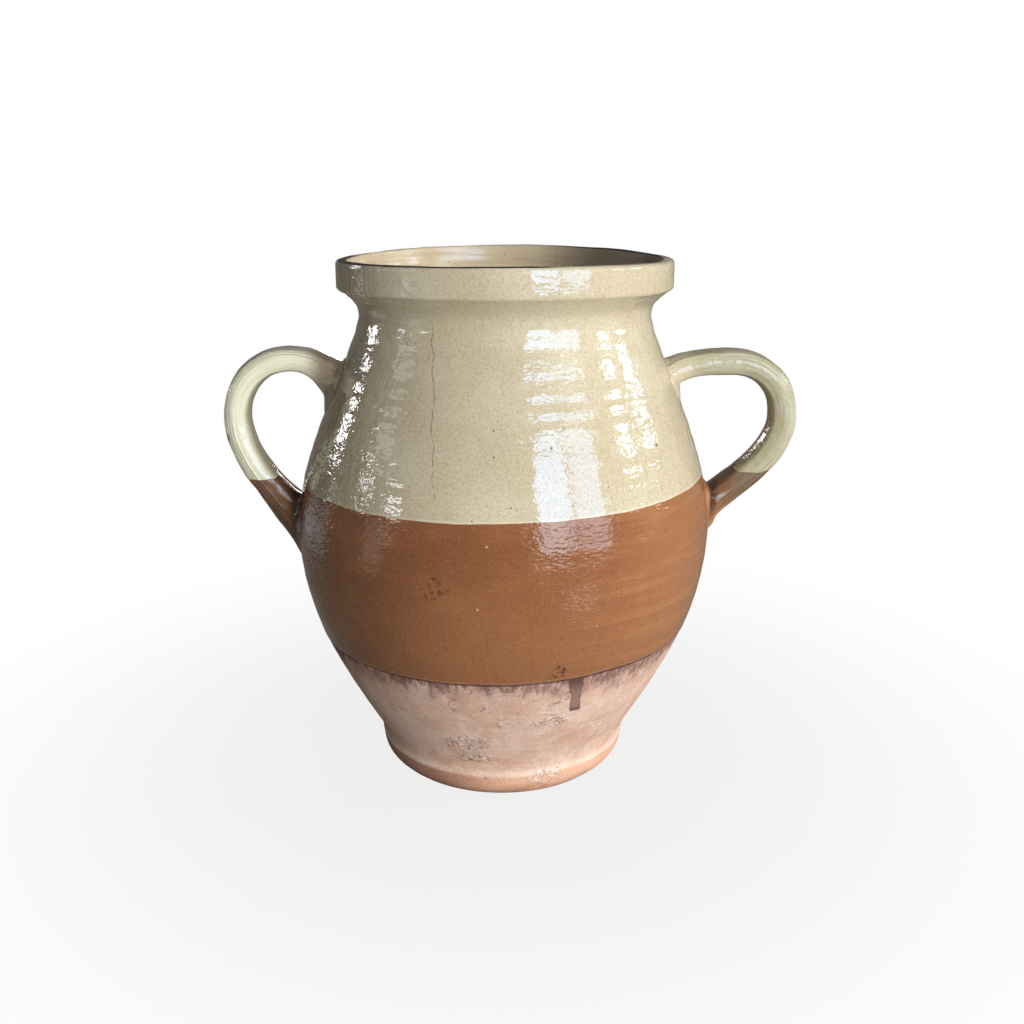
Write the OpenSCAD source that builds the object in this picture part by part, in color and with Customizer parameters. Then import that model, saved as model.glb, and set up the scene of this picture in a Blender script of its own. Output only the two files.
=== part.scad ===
// Two-handled stoneware jar: a thrown body with a collared mouth, two pulled strap
// handles luted to its wall, and the fired coats of glaze that cover them.
// Millimetres, +Z up. The origin is the middle of the foot, on the table.
// The handles stand out along -X (left) and +X (right).

/* [Foot and wall] */
// Diameter of the flat face that stands on the table
foot_d = 127; // [112:1:136]
// Diameter of the rounded band round the foot
band_d = 143.6; // [138:0.2:150]
// Height of that band
band_h = 15; // [11:0.5:19]
// Diameter where the wall leaves the waist above the band
waist_d = 154.4; // [151:0.2:164]
// Height of the waist, from the band to the straight of the wall
waist_h = 15; // [12:0.5:20]
// Slope of the wall above the waist, in degrees from upright
flare = 30; // [24:1:36]
// Length over which the wall keeps that slope
flare_run = 41.5; // [30:0.5:50]
// Largest diameter, at the belly
belly_d = 231.6; // [220:0.2:248]
// Height from the waist to the belly
wall_h = 113; // [100:1:130]
// How far the wall stays upright below the belly
belly_drop = 42; // [30:1:55]
// Thickness of the thrown wall
wall_t = 7; // [5:0.5:9]
// Thickness of the floor
floor_t = 10; // [7:0.5:14]
// Diameter of the flat of the floor inside
floor_d = 96; // [80:1:104]

/* [Shoulder, neck and lip] */
// Height from the belly to the neck
shoulder_h = 117; // [108:1:130]
// How far the wall stays upright above the belly
belly_rise = 41; // [30:1:52]
// How far the wall stays upright below the neck
neck_drop = 16; // [10:1:24]
// Smallest diameter of the neck, outside
neck_d = 157.6; // [148:0.2:168]
// Height from the neck to the lower edge of the collar
collar_rise = 14; // [11:0.5:18]
// Diameter of the collar
collar_d = 180.6; // [174:0.2:190]
// Height of the collar's face, up to the lip
collar_h = 16; // [12:0.5:22]
// Radius of the collar's lower edge
collar_edge = 2; // [1:0.25:3]
// Thickness of the lip
lip_t = 6; // [5:0.25:8]
// Radius of the lip's outer edge
lip_edge = 3; // [1.5:0.1:3.6]
// Radius of the lip's inner edge
lip_in_edge = 1.8; // [1:0.1:2.6]
// Height of the upright face inside the lip
lip_face = 5.4; // [3:0.2:8]

/* [Glaze] */
// Thickness of the cream coat
cream_t = 0.6; // [0.4:0.05:1]
// Thickness of the brown coat
brown_t = 0.4; // [0.3:0.05:0.8]
// Thickness of the coat inside
liner_t = 0.5; // [0.3:0.05:0.8]
// Thickness of the dark line brushed along the lip
lip_line_t = 0.4; // [0.3:0.05:0.6]
// Height of the cream coat's lower edge above the belly
cream_line_up = 28.7; // [26:0.1:36]
// Tilt of that edge, in degrees, right side higher
cream_tilt = 0.9; // [0:0.1:2]
// How much lower that edge runs on the handles
handle_line_drop = 2.2; // [0:0.1:3]
// Depth of the brown coat's lower edge below the belly
brown_line_down = 57.4; // [48:0.2:66]
// Tilt of that edge, in degrees, right side higher
brown_tilt = 1.4; // [0:0.1:3]

/* [Strap handles] */
// Width of a strap, front to back
strap_w = 22; // [18:0.5:28]
// Width of a root where it is smeared on the wall
root_w = 31; // [28:0.5:38]
// Depth of the grooves that the fingers draw along a strap
groove_d = 0.6; // [0:0.1:1]
// Slip between a root and the wall
slip_t = 0.2; // [0.15:0.05:0.4]
// Clearance round a root in the wall's coat
coat_gap = 0.2; // [0.1:0.05:0.4]

/* [Left handle] */
// Depth of the upper root's middle below the neck
left_root_down = 38.5; // [34:0.5:44]
// Height of the upper root on the wall
left_root_h = 22.5; // [18:0.5:28]
// Rise of the strap at the upper root, in degrees
left_rise = 45; // [30:1:55]
// Distance from the upper root out to the top of the bow
left_top_out = 25; // [20:0.5:32]
// Height of the bow's top above the upper root
left_top_up = 12.4; // [9:0.1:17]
// Distance of the outermost point beyond the belly
left_reach = 40.4; // [36:0.2:46]
// Depth of the outermost point below the upper root
left_apex_down = 20; // [14:0.5:26]
// How far the strap stays upright below the outermost point
left_leg_drop = 23; // [16:0.5:30]
// Strap thickness at the top
left_thick = 12.4; // [10:0.2:15]
// Strap thickness at the lower end
left_low_thick = 14.6; // [12:0.2:18]
// Depth of the lower root's middle below the belly
left_tail_down = 4.5; // [1:0.5:9]
// Height of the lower root on the wall
left_tail_h = 33; // [28:0.5:40]
// Slope at which the strap meets the wall, in degrees from upright
left_tail_slope = 38; // [32:1:50]
// Length over which the strap keeps that slope
left_tail_run = 27.5; // [20:0.5:34]

/* [Right handle] */
// Depth of the upper root's middle below the neck
right_root_down = 36.5; // [32:0.5:42]
// Height of the upper root on the wall
right_root_h = 17; // [15:0.5:22]
// Rise of the strap at the upper root, in degrees
right_rise = 31; // [20:1:45]
// Distance from the upper root out to the top of the bow
right_top_out = 32; // [25:0.5:38]
// Height of the bow's top above the upper root
right_top_up = 8.6; // [6:0.1:13]
// Distance of the outermost point beyond the belly
right_reach = 47.4; // [42:0.2:53]
// Depth of the outermost point below the upper root
right_apex_down = 21; // [15:0.5:27]
// How far the strap stays upright below the outermost point
right_leg_drop = 23.5; // [16:0.5:28]
// Strap thickness at the top
right_thick = 13; // [11:0.2:16]
// Strap thickness at the lower end
right_low_thick = 15.4; // [13:0.2:18]
// Depth of the lower root's middle below the belly
right_tail_down = -8; // [-10:0.5:-4]
// Height of the lower root on the wall
right_tail_h = 22.5; // [20:0.5:28]
// Slope at which the strap meets the wall, in degrees from upright
right_tail_slope = 51; // [44:1:58]
// Length over which the strap keeps that slope
right_tail_run = 24; // [18:0.5:30]

/* [Hidden] */
$fn = 128;

clay_colour = "#b98f79";
cream_colour = "#cfc19a";
brown_colour = "#93593a";
lip_colour = "#2e2823";

// How far the ends of each curve of the body pull on it, as shares of its run
foot_spread = 0.75;
foot_lift = 0.25;
band_pull = 0.45;
waist_pull = 0.45;
throat_lift = 0.5;
throat_spread = 0.45;
throat_drop = 0.3;
heel_pull = 0.6;
heel_spread = 0.5;

// The same for the curves of a handle
rise_pull = 0.35;
top_pull = 0.45;
bow_top_pull = 0.58;
bow_side_pull = 0.56;

// Steps in which the body's curves are turned
foot_steps = 8;
waist_steps = 6;
wall_steps = 16;
shoulder_steps = 20;
throat_steps = 6;
collar_steps = 3;
lip_steps = 4;
mouth_steps = 7;
vault_steps = 18;
inner_steps = 14;
heel_steps = 6;
collar_edge_from = -60;

// Heights of the body's stations, from the table up
waist_z = band_h + waist_h;
belly_z = waist_z + wall_h;
neck_z = belly_z + shoulder_h;
collar_z = neck_z + collar_rise;
lip_z = collar_z + collar_h;
cream_z = belly_z + cream_line_up;
brown_z = belly_z - brown_line_down;

// A point at share t of the cubic curve with end points a, d and pulls b, c
function curve_point(a, b, c, d, t) =
    (1 - t) ^ 3 * a + 3 * (1 - t) ^ 2 * t * b + 3 * (1 - t) * t ^ 2 * c + t ^ 3 * d;

// The direction of that curve at share t
function curve_way(a, b, c, d, t) =
    (1 - t) ^ 2 * (b - a) + 2 * (1 - t) * t * (c - b) + t ^ 2 * (d - c);

// The curve as a run of points; the last one belongs to the next run
function curve(a, b, c, d, steps) =
    [for (i = [0 : steps - 1]) curve_point(a, b, c, d, i / steps)];

// A quarter round about [r, z], from one angle to another, both ends kept
function round_edge(r, z, radius, from, to, steps) =
    [for (i = [0 : steps]) let (a = from + (to - from) * i / steps)
        [r + radius * cos(a), z + radius * sin(a)]];

function unit(v) = v / norm(v);

// The body's half section, as [radius, height], from the foot up the outside,
// over the lip and down the inside to the middle of the floor
foot_r = foot_d / 2;
band_r = band_d / 2;
waist_r = waist_d / 2;
belly_r = belly_d / 2;
neck_r = neck_d / 2;
collar_r = collar_d / 2;
lip_in_r = collar_r - lip_t;
floor_r = floor_d / 2;
flare_way = [sin(flare), cos(flare)];
heel_r = waist_r - wall_t / cos(flare);

foot_run = curve(
    [foot_r, 0], [foot_r + foot_spread * (band_r - foot_r), foot_lift * band_h],
    [band_r, band_h - band_pull * band_h], [band_r, band_h], foot_steps);
waist_run = curve(
    [band_r, band_h], [band_r, band_h + waist_pull * waist_h],
    [waist_r, waist_z] - waist_pull * waist_h * flare_way, [waist_r, waist_z], waist_steps);
wall_run = curve(
    [waist_r, waist_z], [waist_r, waist_z] + flare_run * flare_way,
    [belly_r, belly_z - belly_drop], [belly_r, belly_z], wall_steps);
shoulder_run = curve(
    [belly_r, belly_z], [belly_r, belly_z + belly_rise],
    [neck_r, neck_z - neck_drop], [neck_r, neck_z], shoulder_steps);
throat_run = curve(
    [neck_r, neck_z], [neck_r, neck_z + throat_lift * collar_rise],
    [neck_r + throat_spread * (collar_r - neck_r), collar_z - throat_drop * collar_rise],
    [collar_r - collar_edge, collar_z], throat_steps);
collar_run = round_edge(
    collar_r - collar_edge, collar_z + collar_edge, collar_edge, collar_edge_from, 0, collar_steps);
lip_out_run = round_edge(collar_r - lip_edge, lip_z - lip_edge, lip_edge, 0, 90, lip_steps);
lip_in_run = round_edge(lip_in_r + lip_in_edge, lip_z - lip_in_edge, lip_in_edge, 90, 180, lip_steps);
mouth_run = curve(
    [lip_in_r, lip_z - lip_face], [lip_in_r, collar_z],
    [neck_r - wall_t, neck_z + throat_lift * collar_rise], [neck_r - wall_t, neck_z], mouth_steps);
vault_run = curve(
    [neck_r - wall_t, neck_z], [neck_r - wall_t, neck_z - neck_drop],
    [belly_r - wall_t, belly_z + belly_rise], [belly_r - wall_t, belly_z], vault_steps);
inner_run = curve(
    [belly_r - wall_t, belly_z], [belly_r - wall_t, belly_z - belly_drop],
    [heel_r, waist_z] + flare_run * flare_way, [heel_r, waist_z], inner_steps);
heel_run = curve(
    [heel_r, waist_z], [heel_r, waist_z] - heel_pull * (waist_z - floor_t) * flare_way,
    [floor_r + heel_spread * (heel_r - floor_r), floor_t], [floor_r, floor_t], heel_steps);

outer_runs = concat(foot_run, waist_run, wall_run, shoulder_run, throat_run, collar_run);
section = concat(
    outer_runs, lip_out_run, lip_in_run, mouth_run, vault_run, inner_run, heel_run,
    [[floor_r, floor_t], [0, floor_t]]);

// Places along the section where one coat ends and the next begins
wall_at = len(foot_run) + len(waist_run);
shoulder_at = wall_at + len(wall_run);
throat_at = shoulder_at + len(shoulder_run);
lip_at = len(outer_runs) + lip_steps / 2;
liner_at = len(outer_runs) + len(lip_out_run) + lip_steps / 2;
section_end = len(section) - 1;

// The outward side of the wall at place i of the section
function outward(i) =
    i == section_end ? [0, 1] :
    let (d = section[i + 1] - section[i - 1]) unit([d[1], -d[0]]);

// A coat of thickness t on the section between two places, turned about the axis
module coat(from, to, t) {
    rotate_extrude()
        polygon(concat(
            [for (i = [from : to]) section[i]],
            [for (i = [to : -1 : from]) section[i] + t * outward(i)]));
}

// Outside radius of the bare wall at height z, below the neck
wall_table = [for (p = concat(foot_run, waist_run, wall_run, shoulder_run)) [p[1], p[0]]];
function wall_r(z) = lookup(z, wall_table);

// Direction up the bare wall at height z, as [outward, up]
function wall_way(z) = unit([(wall_r(z + 1) - wall_r(z - 1)) / 2, 1]);

// All that lies below, or above, a glaze edge at height z with a tilt
module below_edge(z, tilt) {
    translate([0, 0, z])
        rotate([0, -tilt, 0])
            translate([-belly_d, -belly_d, -lip_z])
                cube([2 * belly_d, 2 * belly_d, lip_z]);
}
module above_edge(z, tilt) {
    translate([0, 0, z])
        rotate([0, -tilt, 0])
            translate([-belly_d, -belly_d, 0])
                cube([2 * belly_d, 2 * belly_d, lip_z]);
}

// A strap is a ribbed section carried along three curves: the rise from the upper root,
// the bow out to the outermost point, and the leg down to the lower root.
// Place u runs from 0 at the upper root to 3 at the lower one.
sides = 24;
rise_rings = 8;
bow_rings = 11;
leg_rings = 9;
tail_rings = 9;
line_ring = rise_rings + bow_rings + leg_rings;
last_ring = line_ring + tail_rings;
cap_rings = 3;
boxiness = 0.7;
groove_sides = [0, 2, 5, 19, 22];

// A handle's own sizes, in the order that the functions below read them
left = [-1, neck_z - left_root_down, left_root_h, left_rise, left_top_out, left_top_up,
    left_reach, left_apex_down, left_leg_drop, left_thick, left_low_thick,
    belly_z - left_tail_down, left_tail_h, left_tail_slope, left_tail_run];
right = [1, neck_z - right_root_down, right_root_h, right_rise, right_top_out, right_top_up,
    right_reach, right_apex_down, right_leg_drop, right_thick, right_low_thick,
    belly_z - right_tail_down, right_tail_h, right_tail_slope, right_tail_run];
function side(h) = h[0];
function root_z(h) = h[1];
function root_h(h) = h[2];
function rise(h) = h[3];
function top_out(h) = h[4];
function top_up(h) = h[5];
function reach(h) = h[6];
function apex_down(h) = h[7];
function leg_drop(h) = h[8];
function thick(h) = h[9];
function low_thick(h) = h[10];
function tail_z(h) = h[11];
function tail_h(h) = h[12];
function tail_slope(h) = h[13];
function tail_run(h) = h[14];

// The ends and pulls of the three curves, as [outward, up]
function root_point(h) = [wall_r(root_z(h)), root_z(h)];
function top_point(h) = root_point(h) + [top_out(h), top_up(h)];
function apex_point(h) =
    [belly_r + reach(h) - (thick(h) + low_thick(h)) / 4, root_z(h) - apex_down(h)];
function tail_point(h) = [wall_r(tail_z(h)), tail_z(h)];
function spine_curve(h, part) =
    let (root = root_point(h), top = top_point(h), apex = apex_point(h), tail = tail_point(h))
    part == 0 ?
        [root, root + rise_pull * top_out(h) * [cos(rise(h)), sin(rise(h))],
            top - top_pull * [top_out(h), 0], top] :
    part == 1 ?
        [top, top + bow_top_pull * [apex[0] - top[0], 0],
            apex + bow_side_pull * [0, top[1] - apex[1]], apex] :
        [apex, apex - [0, leg_drop(h)],
            tail + tail_run(h) * [sin(tail_slope(h)), cos(tail_slope(h))], tail];

// The three parts meet at whole values of u
function part_of(u) = u < 1 ? 0 : u < 2 ? 1 : 2;
function spine(h, u) =
    let (c = spine_curve(h, part_of(u)))
    curve_point(c[0], c[1], c[2], c[3], u - part_of(u));
function spine_out(h, u) =
    let (
        c = spine_curve(h, part_of(u)),
        w = unit(curve_way(c[0], c[1], c[2], c[3], u - part_of(u))))
    [-w[1], w[0]];

// How much of a root's spread is left at u, at the upper and the lower end
root_swell = 2.6;
tail_swell = 7;
function near_root(u) = u < 1 ? (1 - u) ^ root_swell : 0;
function near_tail(u) = u > 2 ? (u - 2) ^ tail_swell : 0;

// The section's two half sizes and its outer direction at u
function half_thick(h, u) =
    let (own = (thick(h) + (low_thick(h) - thick(h)) * max(0, u - 1) / 2) / 2)
    own + near_root(u) * (root_h(h) / 2 - own) + near_tail(u) * (tail_h(h) / 2 - own);
function half_width(h, u) =
    (strap_w + (near_root(u) + near_tail(u)) * (root_w - strap_w)) / 2;
function outer_way(h, u) =
    unit(spine_out(h, u) * (1 - near_root(u) - near_tail(u))
        + near_root(u) * wall_way(root_z(h)) - near_tail(u) * wall_way(tail_z(h)));

// One corner of the section, from -1 to 1 in thickness and in width
function blunt(v) = sign(v) * abs(v) ^ boxiness;
function corner(k) = [blunt(cos(360 * k / sides)), blunt(sin(360 * k / sides))];
function groove(k, u) =
    len(search(k, groove_sides)) == 0 ? 0 : groove_d * (1 - near_root(u)) * (1 - near_tail(u));

// A point of the strap's skin as [outward, across, up], with a coat of thickness t on it
function skin(h, k, u, t) =
    let (
        c = corner(k),
        size = [half_thick(h, u) + t, half_width(h, u) + t],
        shrink = 1 - groove(k, u) / norm([c[0] * size[0], c[1] * size[1]]),
        p = spine(h, u) + c[0] * size[0] * shrink * outer_way(h, u))
    [p[0], c[1] * size[1] * shrink, p[1]];

// A point of a root set on the wall, with the slip between them
function on_wall(p) = [sqrt(wall_r(p[2]) ^ 2 - p[1] ^ 2) + slip_t, p[1], p[2]];

// The place where line k of the strap crosses the cream coat's edge, by halving
function edge_height(h, p) =
    cream_z - handle_line_drop + side(h) * p[0] * tan(cream_tilt) - p[2];
function edge_place(h, k, from = 2, to = 3, turns = 24) =
    turns == 0 ? from :
    let (mid = (from + to) / 2)
    edge_height(h, skin(h, k, mid, 0)) < 0 ?
        edge_place(h, k, mid, to, turns - 1) : edge_place(h, k, from, mid, turns - 1);

// The place of ring i on line k, so that one ring lies along the cream coat's edge
function ring_place(i, edge) =
    i <= rise_rings ? i / rise_rings :
    i <= rise_rings + bow_rings ? 1 + (i - rise_rings) / bow_rings :
    i <= line_ring ? 2 + (edge - 2) * (i - rise_rings - bow_rings) / leg_rings :
    edge + (3 - edge) * (i - line_ring) / tail_rings;

// Rings of the strap's skin, from one ring to another, with a coat of thickness t
function strap_rings(h, from, to, t) =
    let (edges = [for (k = [0 : sides - 1]) edge_place(h, k)])
    [for (i = [from : to]) [for (k = [0 : sides - 1])
        let (p = skin(h, k, ring_place(i, edges[k]), t))
        i == 0 || i == last_ring ? on_wall(p) : p]];

// Rings that close a root along the wall, shrinking to its middle
function cap(ring) =
    let (middle = [for (axis = [0 : 2]) (ring[0][axis] + ring[sides / 2][axis]) / 2])
    [for (c = [1 : cap_rings]) let (share = 1 - c / (cap_rings + 1))
        [for (p = ring) on_wall(middle + share * (p - middle))]];
function cap_middle(ring) = on_wall((ring[0] + ring[sides / 2]) / 2);

// Two triangles for each side between neighbouring rings, starting at a ring's first point
function skin_faces(rings, first = 0) = [for (i = [0 : rings - 2]) for (k = [0 : sides - 1])
    let (a = first + i * sides + k, b = first + i * sides + (k + 1) % sides)
    each [[a, b, a + sides], [b, b + sides, a + sides]]];
function flipped(faces) = [for (f = faces) [f[2], f[1], f[0]]];

// The strap's [outward, across, up] points as X, Y, Z on its own side of the body
function placed(h, points) = [for (p = points) [side(h) * p[0], p[1], p[2]]];
function facing(h, faces) = side(h) > 0 ? faces : flipped(faces);
function flat(rings) = [for (ring = rings) each ring];

// The clay of a handle: its skin, closed at both roots along the wall
module strap(h) {
    skin_rings = strap_rings(h, 0, last_ring, 0);
    upper = cap(skin_rings[0]);
    lower = cap(skin_rings[last_ring]);
    all_rings = concat([for (c = [cap_rings - 1 : -1 : 0]) upper[c]], skin_rings, lower);
    ring_count = len(all_rings);
    upper_middle = ring_count * sides;
    points = concat(
        flat(all_rings), [cap_middle(skin_rings[0]), cap_middle(skin_rings[last_ring])]);
    last_first = (ring_count - 1) * sides;
    faces = concat(
        skin_faces(ring_count),
        [for (k = [0 : sides - 1]) [(k + 1) % sides, k, upper_middle]],
        [for (k = [0 : sides - 1])
            [last_first + k, last_first + (k + 1) % sides, upper_middle + 1]]);
    polyhedron(placed(h, points), facing(h, faces));
}

// A coat on a handle between two rings, as a sleeve of thickness t round the clay
module sleeve(h, from, to, t) {
    rings = to - from + 1;
    points = concat(flat(strap_rings(h, from, to, t)), flat(strap_rings(h, from, to, 0)));
    inside = rings * sides;
    last_first = (rings - 1) * sides;
    ends = [for (k = [0 : sides - 1]) let (n = (k + 1) % sides)
        each [
            [n, k, inside + n], [k, inside + k, inside + n],
            [last_first + k, last_first + n, inside + last_first + n],
            [last_first + k, inside + last_first + n, inside + last_first + k]
        ]];
    faces = concat(skin_faces(rings), flipped(skin_faces(rings, inside)), ends);
    polyhedron(placed(h, points), facing(h, faces));
}

// The place on the wall that a root and its coat take up, cut through the wall's coat
hole_from = neck_r / 2;
hole_to = 2 * belly_r;
module root_hole(h, ring, t) {
    outline = strap_rings(h, ring, ring, t + coat_gap)[0];
    rotate([90, 0, 90])
        translate([0, 0, side(h) > 0 ? hole_from : -hole_to])
            linear_extrude(hole_to - hole_from)
                polygon([for (p = outline) [p[1], p[2]]]);
}
module root_holes() {
    for (h = [left, right]) {
        root_hole(h, 0, cream_t);
        root_hole(h, last_ring, brown_t);
    }
}

// The pot as it left the wheel: foot, belly, shoulder, neck and collar in one wall
module thrown_body() {
    color(clay_colour)
        rotate_extrude()
            polygon(concat([[0, 0]], section));
}

// The pulled straps of clay
module left_handle() { color(clay_colour) strap(left); }
module right_handle() { color(clay_colour) strap(right); }

// The cream coat, from its dipped edge above the belly up to the lip
module cream_glaze() {
    color(cream_colour)
        difference() {
            coat(shoulder_at, lip_at, cream_t);
            below_edge(cream_z, cream_tilt);
            root_holes();
        }
}

// The brown coat round the belly, between the two dipped edges
module brown_glaze() {
    color(brown_colour)
        difference() {
            coat(wall_at, throat_at, brown_t);
            above_edge(cream_z, cream_tilt);
            below_edge(brown_z, brown_tilt);
            root_holes();
        }
}

// The coat poured round the inside
module liner_glaze() {
    color(cream_colour)
        coat(liner_at, section_end, liner_t);
}

// The dark line brushed along the crest of the lip
module lip_line() {
    color(lip_colour)
        coat(lip_at, liner_at, lip_line_t);
}

// The two coats on each handle, meeting at the dipped edge
module left_handle_cream_glaze() { color(cream_colour) sleeve(left, 0, line_ring, cream_t); }
module left_handle_brown_glaze() { color(brown_colour) sleeve(left, line_ring, last_ring, brown_t); }
module right_handle_cream_glaze() { color(cream_colour) sleeve(right, 0, line_ring, cream_t); }
module right_handle_brown_glaze() { color(brown_colour) sleeve(right, line_ring, last_ring, brown_t); }

thrown_body();
left_handle();
right_handle();
cream_glaze();
brown_glaze();
liner_glaze();
lip_line();
left_handle_cream_glaze();
left_handle_brown_glaze();
right_handle_cream_glaze();
right_handle_brown_glaze();
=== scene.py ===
import math

import bpy
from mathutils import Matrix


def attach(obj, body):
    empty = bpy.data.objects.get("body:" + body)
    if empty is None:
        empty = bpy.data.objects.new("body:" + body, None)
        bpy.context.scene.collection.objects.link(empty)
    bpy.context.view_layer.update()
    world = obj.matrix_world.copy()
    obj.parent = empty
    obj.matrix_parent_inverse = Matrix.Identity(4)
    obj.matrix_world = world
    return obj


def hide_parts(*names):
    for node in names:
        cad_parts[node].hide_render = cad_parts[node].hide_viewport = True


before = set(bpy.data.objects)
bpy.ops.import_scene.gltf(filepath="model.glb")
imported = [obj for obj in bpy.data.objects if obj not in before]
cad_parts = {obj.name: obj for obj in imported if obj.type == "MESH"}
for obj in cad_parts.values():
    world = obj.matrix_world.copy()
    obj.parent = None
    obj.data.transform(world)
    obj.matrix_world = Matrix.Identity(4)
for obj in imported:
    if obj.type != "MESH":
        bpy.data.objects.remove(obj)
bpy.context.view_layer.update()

# The thrown wall is one piece of coarse pinkish stoneware, raised on the wheel from the foot to
# the lip with faint finger ridges. It stays bare round the foot, dusty with a pale bloom, and a
# dark wash has run down it from under the glaze above.
foot_r, band_r, band_z = 0.0635, 0.0718, 0.015
waist_r, waist_z, flare = 0.0772, 0.030, math.radians(30)
belly_r, belly_z = 0.11577, 0.143
neck_r, neck_z = 0.0794, 0.260
collar_r, collar_z, collar_edge = 0.0907, 0.274, 0.002
lip_r, lip_z, lip_edge, lip_in_edge = 0.0843, 0.290, 0.0022, 0.0018
wall_t, inner_waist_r, floor_r, floor_z = 0.007, 0.0691, 0.048, 0.010
brown_line, brown_tilt = 0.0856, math.radians(1.4)
foot_steps, waist_steps, belly_steps, shoulder_steps, neck_steps = 10, 8, 52, 76, 10
belly_at = foot_steps + waist_steps
shoulder_at = belly_at + belly_steps


def bend(start, first, second, end, steps):
    """Points of a curve that leaves start towards first and nears end from second, end left out."""
    points = []
    for i in range(steps):
        t = i / steps
        pulls = ((1 - t) ** 3, 3 * (1 - t) ** 2 * t, 3 * (1 - t) * t ** 2, t ** 3)
        points.append(tuple(sum(w * p[axis] for w, p in zip(pulls, (start, first, second, end)))
                            for axis in (0, 1)))
    return points


def corner(r, z, radius, start, end, steps):
    """Points of a rounded edge about (r, z), both ends kept."""
    angles = [math.radians(start + (end - start) * i / steps) for i in range(steps + 1)]
    return [(r + radius * math.cos(a), z + radius * math.sin(a)) for a in angles]


def ridges(z):
    """How far the finger ridges stand out of the wall at height z."""
    shoulder = max(0.0, 1 - abs(z - 0.222) / 0.055)
    belly = max(0.0, 1 - abs(z - 0.138) / 0.03)
    height = 0.00004 + 0.00015 * shoulder + 0.00006 * belly
    return height * math.sin(2 * math.pi * z / 0.0104 + 1.3 * math.sin(2 * math.pi * z / 0.037))


rise = (math.sin(flare), math.cos(flare))
outside = (
    bend((foot_r, 0), (foot_r + 0.75 * (band_r - foot_r), 0.25 * band_z),
         (band_r, 0.55 * band_z), (band_r, band_z), foot_steps)
    + bend((band_r + 0.0003, band_z), (band_r - 0.0003, 0.0195),
           (waist_r - 0.0068 * rise[0], waist_z - 0.0068 * rise[1]),
           (waist_r, waist_z), waist_steps)
    + bend((waist_r, waist_z), (waist_r + 0.044 * rise[0], waist_z + 0.044 * rise[1]),
           (belly_r, belly_z - 0.047), (belly_r, belly_z), belly_steps)
    + bend((belly_r, belly_z), (belly_r, belly_z + 0.041),
           (neck_r, neck_z - 0.016), (neck_r, neck_z), shoulder_steps)
    + bend((neck_r, neck_z), (neck_r, neck_z + 0.007),
           (neck_r + 0.0052, collar_z - 0.0042), (collar_r - collar_edge, collar_z), neck_steps)
    + corner(collar_r - collar_edge, collar_z + collar_edge, collar_edge, -60, 0, 5)
    + [(collar_r, collar_z + 0.0045), (collar_r, collar_z + 0.008), (collar_r, collar_z + 0.0105)]
    + corner(collar_r - lip_edge, lip_z - lip_edge, lip_edge, 0, 90, 8))
crest = [(collar_r - 0.0036, lip_z), (lip_r + 0.0024, lip_z)]
inside = (
    corner(lip_r + lip_in_edge, lip_z - lip_in_edge, lip_in_edge, 90, 180, 6)
    + bend((lip_r, lip_z - 0.0054), (lip_r, collar_z),
           (neck_r - wall_t, neck_z + 0.007), (neck_r - wall_t, neck_z), 10)
    + bend((neck_r - wall_t, neck_z), (neck_r - wall_t, neck_z - 0.016),
           (belly_r - wall_t, belly_z + 0.041), (belly_r - wall_t, belly_z), 34)
    + bend((belly_r - wall_t, belly_z), (belly_r - wall_t, belly_z - 0.042),
           (inner_waist_r + 0.0415 * rise[0], waist_z + 0.0415 * rise[1]),
           (inner_waist_r, waist_z), 24)
    + bend((inner_waist_r, waist_z), (inner_waist_r - 0.012 * rise[0], waist_z - 0.012 * rise[1]),
           (0.0586, floor_z), (floor_r, floor_z), 8)
    + [(floor_r, floor_z), (0.024, floor_z), (0, floor_z)])


def raised(points, coat, ridged=True):
    """The wall's points moved out by a coat's thickness, with the finger ridges if wanted."""
    moved = []
    for i, (r, z) in enumerate(points):
        (ra, za), (rb, zb) = points[max(i - 1, 0)], points[min(i + 1, len(points) - 1)]
        length = math.hypot(rb - ra, zb - za)
        out = (zb - za) / length, (ra - rb) / length
        lift = coat + (ridges(z) if ridged and 0.04 < z < 0.272 else 0)
        moved.append((max(r + lift * out[0], 0), z + lift * out[1]))
    return moved


def spun(name, points, steps=192):
    """A wall that is turned about the wheel's axis from the points of its half section."""
    bpy.ops.object.select_all(action="DESELECT")
    bpy.ops.mesh.primitive_plane_add(size=0.01)
    piece = bpy.context.object
    piece.name = piece.data.name = name
    bpy.ops.object.mode_set(mode="EDIT")
    bpy.ops.mesh.merge(type="CENTER")
    bpy.ops.transform.translate(value=(points[0][0], 0, points[0][1]))
    for (ra, za), (rb, zb) in zip(points, points[1:]):
        bpy.ops.mesh.extrude_vertices_move(TRANSFORM_OT_translate={"value": (rb - ra, 0, zb - za)})
    bpy.ops.mesh.select_all(action="SELECT")
    bpy.ops.mesh.spin(steps=steps, angle=2 * math.pi, center=(0, 0, 0), axis=(0, 0, 1))
    bpy.ops.mesh.select_all(action="SELECT")
    bpy.ops.mesh.remove_doubles(threshold=0.000005)
    bpy.ops.mesh.normals_make_consistent(inside=False)
    bpy.ops.object.mode_set(mode="OBJECT")
    return piece


def finish_with(piece, name, kind, **settings):
    """A modifier put on a piece and applied at once."""
    modifier = piece.modifiers.new(name, kind)
    for key, value in settings.items():
        setattr(modifier, key, value)
    bpy.context.view_layer.objects.active = piece
    bpy.ops.object.modifier_apply(modifier=name)


hand_wobble = bpy.data.textures.new("hand_wobble", "CLOUDS")
hand_wobble.noise_scale = 0.055
hand_wobble.noise_depth = 1
hand_dents = bpy.data.textures.new("hand_dents", "CLOUDS")
hand_dents.noise_scale = 0.014
hand_dents.noise_depth = 1


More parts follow.
